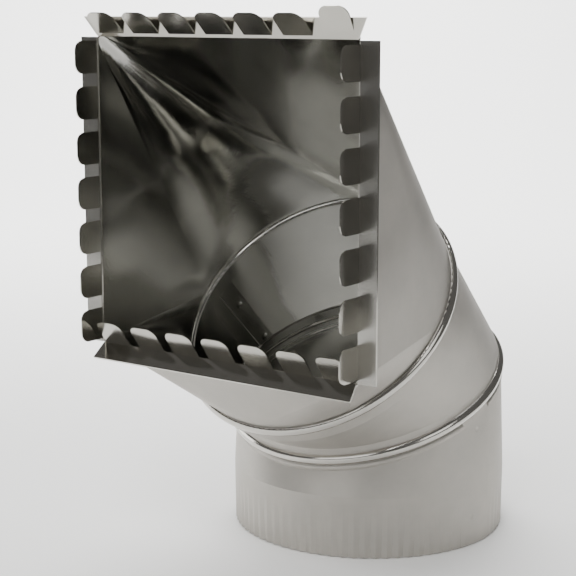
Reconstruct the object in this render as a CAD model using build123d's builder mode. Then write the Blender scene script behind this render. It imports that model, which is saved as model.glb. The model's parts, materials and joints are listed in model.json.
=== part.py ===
from build123d import *
from math import asin, cos, degrees, radians, sin, sqrt
import os

# Galvanised duct takeoff: a square tabbed mouth, a swivelling gore and a crimped round collar.
# The collar stands upright on the origin and the mouth looks along -X.

# Sheet
sheet = 0.55
swivel_gap = 0.3

# Round duct
duct_radius = 76.2
crimp_length = 28.0
crimp_count = 80
crimp_depth = 1.1
crimp_taper = 0.4
crimp_fade = 35.0
band_length = 5.0

# Bend of the duct, as places along its path
lower_bead_height = 81.0
lower_bead_shift = -4.6
lower_tilt = 22.5
gore_length = 66.0
upper_tilt = 45.0

# Swivel beads
bead_height = 2.7
bead_radius = 3.2
bead_root = 1.0
lip_height = 1.2
upper_sleeve = 9.8
lower_sleeve = 6.2
sleeve_cover = 0.7
wall_run = 0.6

# Pressed rib on the collar, just below its bead
rib_drop = 5.5
rib_height = 1.1
rib_radius = 2.0

# Lap seams, as angles round the duct from the outside of its bend
collar_seam = (254.0, 271.0)
gore_seam = (74.0, 86.0)
corner_seam = (219.5, 224.5)
lap_rise = 0.3
lap_bite = 0.1

# Clinch marks that hold the laps: on the collar an angle, a height and how far the lap's face stands
# off the duct's radius there, and on the gore an angle and shares of its length
clinch_radius = 5.0
clinch_depth = 0.5
collar_clinches = ((262.0, 64.0, 0.4), (260.0, 16.0, 0.0))
gore_clinch_angle = 81.0
gore_clinch_shares = (0.06, 0.68)

# Square mouth
mouth_reach = 133.2
mouth_height = 193.3
mouth_rise = 160.2
mouth_width = 160.2
mouth_corner = 2.5
seat_arc = 4.0

# Flange and tabs round the mouth: the last tab of a row takes the second of its leans
flange_width = 10.0
flange_gap = 1.5
fold_radius = 0.8
tab_count = 7
tab_share = 0.72
tab_length = 16.5
tab_round = 5.0
top_flange_lean = 18.0
top_flange_flare = 6.0
top_tab_leans = (42.0, 60.0)
bottom_flange_lean = 46.0
bottom_flange_flare = 1.3
bottom_tab_leans = (-54.0, -54.0)
side_tab_leans = (0.0, 0.0)

inner_radius = duct_radius - sheet
mid_radius = duct_radius - sheet / 2
lap_height = lap_rise + sheet / 2
nest = sheet + swivel_gap
walls = ((duct_radius, Mode.ADD), (inner_radius, Mode.SUBTRACT))
forward = Vector(-1, 0, 0)


def path_plane(x, z, tilt):
    """Cross-section of the duct: its normal leads to the mouth, its X side is the outside of the bend."""
    angle = radians(tilt)
    return Plane((x, 0, z), x_dir=(cos(angle), 0, sin(angle)), z_dir=(-sin(angle), 0, cos(angle)))


gore_angle = radians(upper_tilt)
upper_bead_x = lower_bead_shift - gore_length * sin(gore_angle)
upper_bead_height = lower_bead_height + gore_length * cos(gore_angle)
lower_plane = path_plane(lower_bead_shift, lower_bead_height, lower_tilt)
upper_plane = path_plane(upper_bead_x, upper_bead_height, upper_tilt)
mouth_plane = path_plane(-mouth_reach, mouth_height, 90)


def axis_of(plane):
    return Axis(plane.origin, plane.z_dir)


def radial_plane(plane, into_gore):
    """Half-section of a bead: local X runs into the gore and local Y away from the bead's axis."""
    run = plane.z_dir * into_gore
    return Plane(plane.origin, x_dir=run, z_dir=run.cross(plane.x_dir))


def tube_ring(plane):
    with BuildSketch(plane) as section:
        for radius, mode in walls:
            Circle(radius, mode=mode)
    return section.sketch


def on_ring(radius, angle):
    return Vector(radius, 0).rotate(Axis.Z, angle)


def lap_ply(plane, seam, wall, edge, root):
    """Section of a lap: the sheet's end leaves its wall and comes to lie on it with a free edge."""
    start, end = seam
    with BuildSketch(plane) as section:
        with BuildLine():
            middle = on_ring((wall + edge) / 2, (start + end) / 2)
            face = ThreePointArc(on_ring(wall, start), middle, on_ring(edge, end))
            back = CenterArc((0, 0), root, start, end - start)
            Line(face @ 0, back @ 0)
            Line(face @ 1, back @ 1)
        make_face()
    return section.sketch


bead_centre = duct_radius + bead_height - bead_radius
rib_centre = duct_radius + rib_height - rib_radius
nested_radius = bead_radius - nest


def half_width(radius, depth):
    """Half the width of a round ridge, measured at a depth above its centre."""
    return sqrt(radius**2 - depth**2)


def angle_at(radius, depth):
    return degrees(asin(depth / radius))


nested_foot = half_width(nested_radius, duct_radius - bead_centre)
transition_foot = nested_foot + wall_run
rib_spread = half_width(rib_radius, duct_radius - rib_centre)
collar_foot = rib_drop + rib_spread + wall_run


def ridge(place, centre, radius, start_height, end_height):
    """Round ridge in a sheet's outer face, from one height to the other, on the way out of the gore."""
    start = angle_at(radius, start_height - centre)
    end = 180 - angle_at(radius, end_height - centre)
    return CenterArc((place, centre), radius, start, end - start)


def outer_bead(plane, into_gore, reach):
    """The gore's end: a hollow ridge whose lip turns in behind its neighbour's bead."""
    with BuildSketch(radial_plane(plane, into_gore)) as section:
        with BuildLine() as face:
            bead = ridge(0, bead_centre, bead_radius, duct_radius, duct_radius + lip_height)
            Line((reach, duct_radius), bead @ 0)
            fillet(face.vertices().sort_by_distance(bead @ 0)[0], bead_root)
            offset(amount=sheet, side=Side.LEFT, kind=Kind.INTERSECTION)
        make_face()
    return section.sketch


def nested_bead(sleeve):
    """A neighbour's end: a sleeve that runs into the gore, and a ridge that lies inside the gore's."""
    bead = ridge(0, bead_centre, nested_radius, duct_radius - nest, duct_radius)
    Line((sleeve, duct_radius - nest), bead @ 0)
    return bead


def collar_head():
    """The collar's bead, with a low pressed rib under it."""
    with BuildSketch(radial_plane(lower_plane, 1)) as section:
        with BuildLine():
            bead = nested_bead(lower_sleeve)
            rib = ridge(-rib_drop, rib_centre, rib_radius, duct_radius, duct_radius)
            Line(bead @ 1, rib @ 0)
            Line(rib @ 1, (-collar_foot, duct_radius))
            offset(amount=sheet, side=Side.LEFT, kind=Kind.INTERSECTION)
        make_face()
    return section.sketch


def transition_end():
    with BuildSketch(radial_plane(upper_plane, -1)) as section:
        with BuildLine():
            bead = nested_bead(upper_sleeve)
            Line(bead @ 1, (-transition_foot, duct_radius))
            offset(amount=sheet, side=Side.LEFT, kind=Kind.INTERSECTION)
        make_face()
    return section.sketch


band_base = Plane.XY.offset(crimp_length)
band_top = band_base.offset(band_length)


def crimped_rim(radius):
    """Zigzag of the crimp's ridges and grooves at even angles, which fades out towards the lap."""
    step = 360 / crimp_count
    seam_middle = sum(collar_seam) / 2
    corners = []
    for index in range(crimp_count):
        angle = (index + 0.5) * step
        from_seam = abs((angle - seam_middle + 180) % 360 - 180)
        depth = crimp_depth * min(1, from_seam / crimp_fade)
        corners.append(on_ring(radius, index * step))
        corners.append(on_ring(radius - depth, angle))
    return corners


def crimp_foot():
    """The crimped rim, a little narrower than the duct so that it slips into the next one."""
    with BuildSketch() as section:
        for radius, mode in walls:
            with BuildLine():
                Polyline(*crimped_rim(radius - crimp_taper), close=True)
            make_face(mode=mode)
    return section.sketch


def crimp_head():
    """The plain tube above the crimp, split at the same angles as the zigzag."""
    step = 180 / crimp_count
    with BuildSketch(band_base) as section:
        for radius, mode in walls:
            with BuildLine():
                for index in range(2 * crimp_count):
                    CenterArc((0, 0), radius, index * step, step)
            make_face(mode=mode)
    return section.sketch


collar_top = lower_plane.offset(-collar_foot)
rib_bottom = lower_plane.offset(-rib_drop - rib_spread)
rib_top = lower_plane.offset(-rib_drop + rib_spread)


def collar_lap():
    """Sections of the collar's lap, from its crimped foot up over the rib."""
    foot = duct_radius - crimp_taper - lap_bite
    wall = duct_radius - lap_bite
    edge = duct_radius + lap_rise
    sections = [lap_ply(Plane.XY, collar_seam, foot, foot + lap_rise, mid_radius - crimp_taper)]
    for plane in (band_base, band_top, collar_top, rib_top):
        sections.append(lap_ply(plane, collar_seam, wall, edge, mid_radius))
    return sections


with BuildPart() as collar:
    extrude(tube_ring(band_base), amount=band_length)
    loft([tube_ring(band_top), tube_ring(collar_top)], ruled=True)
    revolve(collar_head(), axis=axis_of(lower_plane))
    loft([crimp_foot(), crimp_head()], ruled=True)
    clear_of_rib = duct_radius + 2 * rib_height
    rib_end = lap_ply(rib_bottom, collar_seam, clear_of_rib, clear_of_rib, duct_radius)
    extrude(rib_end, amount=2 * rib_spread, mode=Mode.SUBTRACT)
    loft(collar_lap(), ruled=True)
    for angle, height, stand in collar_clinches:
        centre = on_ring(duct_radius + stand + clinch_radius - clinch_depth, angle)
        with Locations((centre.X, centre.Y, height)):
            Sphere(clinch_radius, mode=Mode.SUBTRACT)

gore_base = lower_plane.offset(lower_sleeve + sleeve_cover)
gore_top = upper_plane.offset(-upper_sleeve - sleeve_cover)


def gore_lap():
    """Sections of the gore's lap, which lies inside it between the two sleeves."""
    wall = inner_radius + lap_bite
    edge = inner_radius - lap_rise
    return [lap_ply(plane, gore_seam, wall, edge, mid_radius) for plane in (gore_base, gore_top)]


with BuildPart() as gore:
    loft([tube_ring(gore_base), tube_ring(gore_top)], ruled=True)
    revolve(outer_bead(lower_plane, 1, lower_sleeve + sleeve_cover), axis=axis_of(lower_plane))
    revolve(outer_bead(upper_plane, -1, upper_sleeve + sleeve_cover), axis=axis_of(upper_plane))
    loft(gore_lap(), ruled=True)
    clinch_ring = on_ring(inner_radius - lap_rise / 2 - clinch_radius + clinch_depth, gore_clinch_angle)
    clinch_start = gore_base.from_local_coords(clinch_ring)
    clinch_end = gore_top.from_local_coords(clinch_ring)
    for share in gore_clinch_shares:
        with Locations(clinch_start + (clinch_end - clinch_start) * share):
            Sphere(clinch_radius, mode=Mode.SUBTRACT)


def mouth_outline(inset):
    """Square mouth with clipped corners, in the order of the ring's arcs."""
    rise = mouth_rise / 2 - inset
    half = mouth_width / 2 - inset
    return (
        (rise, -half + mouth_corner),
        (rise, half - mouth_corner),
        (rise - mouth_corner, half),
        (-rise + mouth_corner, half),
        (-rise, half - mouth_corner),
        (-rise, -half + mouth_corner),
        (-rise + mouth_corner, -half),
        (rise - mouth_corner, -half),
    )


seat_plane = upper_plane.offset(transition_foot)


def ring_arcs(radius):
    """Round end of the transition, split where its flat triangles and its corner cones meet."""
    arcs = []
    for quarter in range(4):
        middle = quarter * 90
        arcs.append(Edge.make_circle(radius, seat_plane, middle - seat_arc / 2, middle + seat_arc / 2))
        arcs.append(Edge.make_circle(radius, seat_plane, middle + seat_arc / 2, middle + 90 - seat_arc / 2))
    return arcs


def mouth_edges(inset):
    corners = [mouth_plane.from_local_coords(point) for point in mouth_outline(inset)]
    return [Edge.make_line(*ends) for ends in zip(corners, corners[1:] + corners[:1])]


def transition_walls():
    """The square-to-round sheet: each mouth edge is ruled to its own arc of the round end."""
    faces = []
    rings = []
    mouths = []
    for inset in (0, sheet):
        arcs = ring_arcs(duct_radius - inset)
        edges = mouth_edges(inset)
        faces += [Face.make_surface_from_curves(arc, edge) for arc, edge in zip(arcs, edges)]
        rings.append(Wire(arcs))
        mouths.append(Wire(edges))
    for outer, inner in (rings, mouths):
        faces.append(Face(outer, [inner]))
    return Solid(Shell(faces))


def corner_lap():
    """Sections of the transition's lap, along the corner cone below the mouth's near corner."""
    crest = duct_radius + lap_rise
    place = Vector(mouth_rise - mouth_corner, mouth_width - mouth_corner) / -2
    with BuildSketch(mouth_plane) as tip:
        with Locations(place + on_ring(lap_rise - lap_height / 2, 225)):
            Rectangle(lap_height, mouth_corner * sqrt(2), rotation=45)
    return [lap_ply(seat_plane, corner_seam, crest, crest, mid_radius), tip.sketch]


def side_frame(outward, distance):
    """Frame on the middle of one mouth edge: X along the edge, Y outward and Z forward."""
    origin = mouth_plane.origin + outward * (distance - sheet)
    return Plane(origin, x_dir=outward.cross(forward), z_dir=forward)


def leaned(frame, place, angle):
    """The frame moved along its edge and turned about it, so that its Y swings forward."""
    turn = radians(angle)
    normal = frame.z_dir * cos(turn) - frame.y_dir * sin(turn)
    return Plane(frame.from_local_coords((place, 0, 0)), x_dir=frame.x_dir, z_dir=normal)


def flange_plate(frame, length, lean, flare):
    half = length / 2 - flange_gap
    with BuildSketch(leaned(frame, 0, lean)) as section:
        with BuildLine():
            Polyline(
                (-half, 0), (half, 0), (half + flare, flange_width), (-half - flare, flange_width), close=True
            )
        make_face()
    return section.sketch


def tab_plate(frame, place, width, lean):
    with BuildSketch(leaned(frame, place, 90 - lean)) as section:
        Rectangle(width, tab_length, align=(Align.CENTER, Align.MIN))
        fillet(section.vertices().group_by(Axis.Y)[-1], tab_round)
    return section.sketch


sides = (
    (Vector(0, 0, 1), mouth_rise / 2, mouth_width, top_flange_lean, top_flange_flare, top_tab_leans),
    (Vector(0, 0, -1), mouth_rise / 2, mouth_width, bottom_flange_lean, bottom_flange_flare, bottom_tab_leans),
    (Vector(0, 1, 0), mouth_width / 2, mouth_rise, 0, 0, side_tab_leans),
    (Vector(0, -1, 0), mouth_width / 2, mouth_rise, 0, 0, side_tab_leans),
)

with BuildPart() as transition:
    add(transition_walls())
    loft(corner_lap(), ruled=True)
    revolve(transition_end(), axis=axis_of(upper_plane))
    for outward, distance, length, flange_lean, flare, tab_leans in sides:
        frame = side_frame(outward, distance)
        extrude(flange_plate(frame, length, flange_lean, flare), amount=2 * sheet)
        with BuildSketch(Plane(frame.from_local_coords((flange_gap - length / 2, 0, 0)), z_dir=frame.x_dir)):
            Circle(fold_radius)
        extrude(amount=length - 2 * flange_gap)
        pitch = length / tab_count
        for index in range(tab_count):
            place = (index - (tab_count - 1) / 2) * pitch
            lean = tab_leans[index // (tab_count - 1)]
            extrude(tab_plate(frame, place, tab_share * pitch, lean), amount=sheet / 2, both=True)

os.makedirs("parts", exist_ok=True)
for piece, label in ((collar, "collar"), (gore, "gore"), (transition, "transition")):
    piece.part.label = label
    export_step(piece.part, f"parts/{label}.step")
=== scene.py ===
import bpy
import json
from math import cos, radians, sin
from mathutils import Matrix, Vector

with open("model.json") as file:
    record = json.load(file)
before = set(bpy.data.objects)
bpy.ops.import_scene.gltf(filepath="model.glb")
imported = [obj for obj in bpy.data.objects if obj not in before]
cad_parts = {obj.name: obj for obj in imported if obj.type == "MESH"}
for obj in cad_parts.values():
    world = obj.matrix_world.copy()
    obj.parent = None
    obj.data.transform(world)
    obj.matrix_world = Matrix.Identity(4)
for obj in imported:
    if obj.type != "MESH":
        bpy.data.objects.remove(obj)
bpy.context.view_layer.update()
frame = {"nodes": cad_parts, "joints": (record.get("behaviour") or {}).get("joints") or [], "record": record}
nodes = frame["nodes"]

# Places from the part's record, in metres
mounts = {mount["name"]: mount for mount in frame["record"]["mounts"]}
joints = {joint["name"]: joint for joint in frame["joints"]}
mouth_x = mounts["tabbed_mouth"]["pos_m"][0]
duct_radius = mounts["round_spigot"]["dims"]["r_mm"] / 1000

# The collar's own axis, upright at the origin, written as a joint's is
collar_axis = {"pos_m": (0, 0, 0), "axis": (0, 0, 1)}

# Camera, fitted to the photograph: place in metres, angles in radians, lens and sensor in millimetres
CAMERA_PLACE = Vector((-0.7115, -0.4548, 0.2856))
CAMERA_YAW = 0.6232
CAMERA_PITCH = 0.1807
CAMERA_LENS = 95.37
CAMERA_SENSOR = 36.0

# Folded sheet round the mouth: how far it reaches into the walls, how far before the mouth its flat flanges
# lie, and how straight along x these face
FOLD_DEPTH = 0.001
FLANGE_DEPTH = 0.0015
FLANGE_FACING = 0.99

# Beads: how far to each side along a swivel's axis the gore's outer ridge reaches, how far the smaller ridges
# of its neighbours do, and how far out of the duct a ridge starts
BEAD_REACH = 0.0068
SEAT_REACH = 0.0028
BEAD_RISE = 0.0005

# Finishes of the sheet: a light and a dark tint, and the range of its roughness. The walls are satin outside
# and glossy inside, with a lighter tint there as painted light; the beads are rolled and glossy, with a
# lighter tint as a painted highlight; the flat flanges are hemmed and rougher, with a darker tint as painted
# shade; and the leaning flanges and the tabs are folded.
FINISHES_AND_PAINTED_LIGHT = {
    "satin": ((0.57, 0.545, 0.505, 1), (0.39, 0.375, 0.345, 1), (0.48, 0.66)),
    # The beads' lighter tint is a painted highlight; their lower roughness is the rolled sheet's own gloss.
    "rolled_gloss_painted_highlight": ((0.60, 0.58, 0.54, 1), (0.50, 0.485, 0.45, 1), (0.11, 0.17)),
    # The inside's lighter tint is painted light; its lower roughness is the sheet's own gloss.
    "bright_gloss_painted_light": ((0.62, 0.615, 0.58, 1), (0.50, 0.495, 0.465, 1), (0.08, 0.15)),
    # The flat flanges' darker tint is painted shade; their higher roughness is the hemmed sheet's own.
    "hemmed_painted_shade": ((0.44, 0.43, 0.40, 1), (0.36, 0.35, 0.325, 1), (0.20, 0.30)),
    "folded": ((0.52, 0.505, 0.46, 1), (0.43, 0.415, 0.375, 1), (0.11, 0.18)),
}

# Texture of the sheet: noise scales per metre, and bump heights in metres
CLOUD_SCALE = 45.0
CLOUD_DETAIL = 4.0
CLOUD_ROUGHNESS = 0.6
BUCKLE_SCALE = 16.0
BUCKLE_DETAIL = 1.0
BUCKLE_HEIGHT = 0.003
GRAIN_SCALE = 900.0
GRAIN_DETAIL = 2.0
GRAIN_HEIGHT = 0.0004
GRAIN_STRENGTH = 0.06

# Paper of the floor
PAPER_COLOUR = (0.94, 0.94, 0.93, 1)
PAPER_SPECK = 1.02
PAPER_SPECK_SCALE = 8.0
PAPER_ROUGHNESS = 0.9

# Floor: how far it lies below the part, its flat rows, as how far behind the duct's axis each is and how far
# it reaches to the right and left, and the sweep that follows them up into a backdrop
FLOOR_DROP = 0.0005
FLOOR_ROWS = ((-0.65, 1.0, 1.0), (-0.15, 1.0, 1.0), (-0.10, 0.8, 3.0))
SWEEP_BACK = 1.2
SWEEP_RADIUS = 0.8
SWEEP_HEIGHT = 3.0
SWEEP_RIGHT = 0.8
SWEEP_LEFT = 3.0
SWEEP_STEPS = 12

# Area lights: name, place, target, width and height, and power in watts
PART_MIDDLE = (-0.06, 0, 0.13)
BACKDROP_MIDDLE = (1.6, 1.2, 0.6)
LIGHTS = (
    ("overhead", (0.5, 0.3, 2.0), PART_MIDDLE, (1.4, 1.4), 9),
    ("high", (-1.1, -0.3, 1.3), PART_MIDDLE, (0.7, 0.7), 18),
    ("key", (-0.5, -1.7, 0.9), PART_MIDDLE, (0.9, 1.0), 4.5),
    ("left_card", (-0.2, 1.5, 0.35), PART_MIDDLE, (1.0, 0.7), 7),
    ("front", (-1.5, -0.1, 0.65), PART_MIDDLE, (1.0, 0.8), 4),
    ("backdrop_glow", (0.7, 0.6, 1.6), BACKDROP_MIDDLE, (1.5, 1.0), 100),
)
WORLD_COLOUR = (1.0, 0.99, 0.97, 1)
WORLD_STRENGTH = 0.15


def node_at(tree, kind, **inputs):
    """Adds a shader node and sets its inputs, by values or by sockets to link."""
    made = tree.nodes.new(kind)
    for name, value in inputs.items():
        socket = made.inputs[name.replace("_", " ")]
        if isinstance(value, bpy.types.NodeSocket):
            tree.links.new(value, socket)
        else:
            socket.default_value = value
    return made


def tint_between(tree, amount, first, second):
    """Mixes two colours by the amount that a socket gives, and returns the socket of the mix."""
    tint = tree.nodes.new("ShaderNodeMix")
    tint.data_type = "RGBA"
    tree.links.new(amount, tint.inputs["Factor"])
    tint.inputs["A"].default_value = first
    tint.inputs["B"].default_value = second
    return tint.outputs["Result"]


def galvanised(name, finish_and_painted_light):
    """Zinc-coated sheet: cloudy spangle in its colour and gloss, slow buckles and a fine rolled grain. The
    tints it is given hold painted light for the inside, a painted highlight for the beads and painted shade
    for the flat flanges.
    """
    light, dark, (smoothest, roughest) = finish_and_painted_light
    material = bpy.data.materials.new(name)
    material.use_nodes = True
    tree = material.node_tree
    shader = tree.nodes["Principled BSDF"]
    place = tree.nodes.new("ShaderNodeTexCoord").outputs["Object"]
    spangle = node_at(tree, "ShaderNodeTexNoise", Vector=place, Scale=CLOUD_SCALE, Detail=CLOUD_DETAIL)
    spangle.inputs["Roughness"].default_value = CLOUD_ROUGHNESS
    cloud = spangle.outputs["Fac"]
    tint = tint_between(tree, cloud, dark, light)
    gloss = node_at(tree, "ShaderNodeMapRange", Value=cloud, To_Min=smoothest, To_Max=roughest)
    buckle = node_at(tree, "ShaderNodeTexNoise", Vector=place, Scale=BUCKLE_SCALE, Detail=BUCKLE_DETAIL)
    grain = node_at(tree, "ShaderNodeTexNoise", Vector=place, Scale=GRAIN_SCALE, Detail=GRAIN_DETAIL)
    wave = node_at(tree, "ShaderNodeBump", Strength=1.0, Distance=BUCKLE_HEIGHT, Height=buckle.outputs["Fac"])
    bump = node_at(
        tree,
        "ShaderNodeBump",
        Strength=GRAIN_STRENGTH,
        Distance=GRAIN_HEIGHT,
        Height=grain.outputs["Fac"],
        Normal=wave.outputs["Normal"],
    )
    tree.links.new(tint, shader.inputs["Base Color"])
    tree.links.new(gloss.outputs["Result"], shader.inputs["Roughness"])
    tree.links.new(bump.outputs["Normal"], shader.inputs["Normal"])
    shader.inputs["Metallic"].default_value = 1.0
    return material


def floor_paper():
    """White paper with a faint speck."""
    material = bpy.data.materials.new("floor_paper")
    material.use_nodes = True
    tree = material.node_tree
    shader = tree.nodes["Principled BSDF"]
    speck = node_at(tree, "ShaderNodeTexNoise", Scale=PAPER_SPECK_SCALE).outputs["Fac"]
    tint = tint_between(tree, speck, PAPER_COLOUR, [channel * PAPER_SPECK for channel in PAPER_COLOUR])
    tree.links.new(tint, shader.inputs["Base Color"])
    shader.inputs["Roughness"].default_value = PAPER_ROUGHNESS
    return material


def from_axis(line, point):
    """A point's height along an axis from that axis's own place, and its offset straight out from it."""
    axis = Vector(line["axis"])
    reach = point - Vector(line["pos_m"])
    height = reach.dot(axis)
    return height, reach - axis * height


def finish_and_painted_light_of(face, own_axis, bead_reach):
    """Which of the sheet's finishes one facet has: the inside's carries painted light, the beads' a painted
    highlight and the flat flanges' painted shade.
    """
    if face.center.x < mouth_x + FOLD_DEPTH:
        flat = face.center.x > mouth_x - FLANGE_DEPTH and abs(face.normal.x) > FLANGE_FACING
        # Flat flanges get the hemmed finish, whose darker tint is painted shade; the tabs and leaning flanges
        # get the folded one.
        return "hemmed_painted_shade" if flat else "folded"
    outward = from_axis(own_axis, face.center)[1]
    # Inside faces get the glossy finish, whose lighter tint is painted light.
    if face.normal.dot(outward) < 0:
        return "bright_gloss_painted_light"
    for joint in frame["joints"]:
        height, outward = from_axis(joint, face.center)
        # Bead facets get the rolled finish, whose lighter tint is a painted highlight.
        if abs(height) < bead_reach and outward.length > duct_radius + BEAD_RISE:
            return "rolled_gloss_painted_highlight"
    return "satin"


def dress(node, own_axis, bead_reach):
    """Gives a piece all the finishes, with their painted light and shade, and each of its facets its own."""
    mesh = nodes[node].data
    mesh.materials.clear()
    for material in materials:
        mesh.materials.append(material)
    order = list(FINISHES_AND_PAINTED_LIGHT)
    for face in mesh.polygons:
        face.material_index = order.index(finish_and_painted_light_of(face, own_axis, bead_reach))


def add_floor():
    """Paper floor that sweeps up into a backdrop behind the part."""
    away = Vector((cos(CAMERA_YAW), sin(CAMERA_YAW), 0))
    across = Vector((-away.y, away.x, 0))
    profile = [(reach, 0.0, right, left) for reach, right, left in FLOOR_ROWS]
    for step in range(SWEEP_STEPS + 1):
        turn = radians(90) * step / SWEEP_STEPS
        reach = SWEEP_BACK + SWEEP_RADIUS * sin(turn)
        profile.append((reach, SWEEP_RADIUS * (1 - cos(turn)), SWEEP_RIGHT, SWEEP_LEFT))
    profile.append((SWEEP_BACK + SWEEP_RADIUS, SWEEP_HEIGHT, SWEEP_RIGHT, SWEEP_LEFT))
    places = []
    for reach, height, right, left in profile:
        for side in (-right, left):
            places.append(away * reach + across * side + Vector((0, 0, height - FLOOR_DROP)))
    strips = [(2 * row, 2 * row + 1, 2 * row + 3, 2 * row + 2) for row in range(len(profile) - 1)]
    mesh = bpy.data.meshes.new("floor")
    mesh.from_pydata(places, [], strips)
    mesh.shade_smooth()
    mesh.materials.append(floor_paper())
    floor = bpy.data.objects.new("floor", mesh)
    bpy.context.scene.collection.objects.link(floor)


def add_light(name, place, target, size, power):
    """Rectangular area light at a place, turned to its target."""
    data = bpy.data.lights.new(name, "AREA")
    data.shape = "RECTANGLE"
    data.size, data.size_y = size
    data.energy = power
    light = bpy.data.objects.new(name, data)
    bpy.context.scene.collection.objects.link(light)
    light.location = place
    light.rotation_euler = (Vector(target) - Vector(place)).to_track_quat("-Z", "Y").to_euler()


def add_camera():
    """Camera that sees the part as the photograph does."""
    data = bpy.data.cameras.new("camera")
    data.lens = CAMERA_LENS
    data.sensor_width = CAMERA_SENSOR
    camera = bpy.data.objects.new("camera", data)
    bpy.context.scene.collection.objects.link(camera)
    ahead = Vector((
        cos(CAMERA_PITCH) * cos(CAMERA_YAW),
        cos(CAMERA_PITCH) * sin(CAMERA_YAW),
        -sin(CAMERA_PITCH),
    ))
    turn = ahead.to_track_quat("-Z", "Y").to_matrix().to_4x4()
    camera.matrix_world = Matrix.Translation(CAMERA_PLACE) @ turn
    bpy.context.scene.camera = camera


def add_world():
    """Dim, slightly warm light from all sides."""
    world = bpy.data.worlds.new("studio")
    world.use_nodes = True
    background = world.node_tree.nodes["Background"]
    background.inputs["Color"].default_value = WORLD_COLOUR
    background.inputs["Strength"].default_value = WORLD_STRENGTH
    bpy.context.scene.world = world


materials = [galvanised("sheet_" + name, finish_and_painted_light) for name, finish_and_painted_light in FINISHES_AND_PAINTED_LIGHT.items()]
dress("collar", collar_axis, SEAT_REACH)
dress("gore", joints["gore_swivel"], BEAD_REACH)
dress("transition", joints["transition_swivel"], SEAT_REACH)
add_floor()
for light in LIGHTS:
    add_light(*light)
add_camera()
add_world()
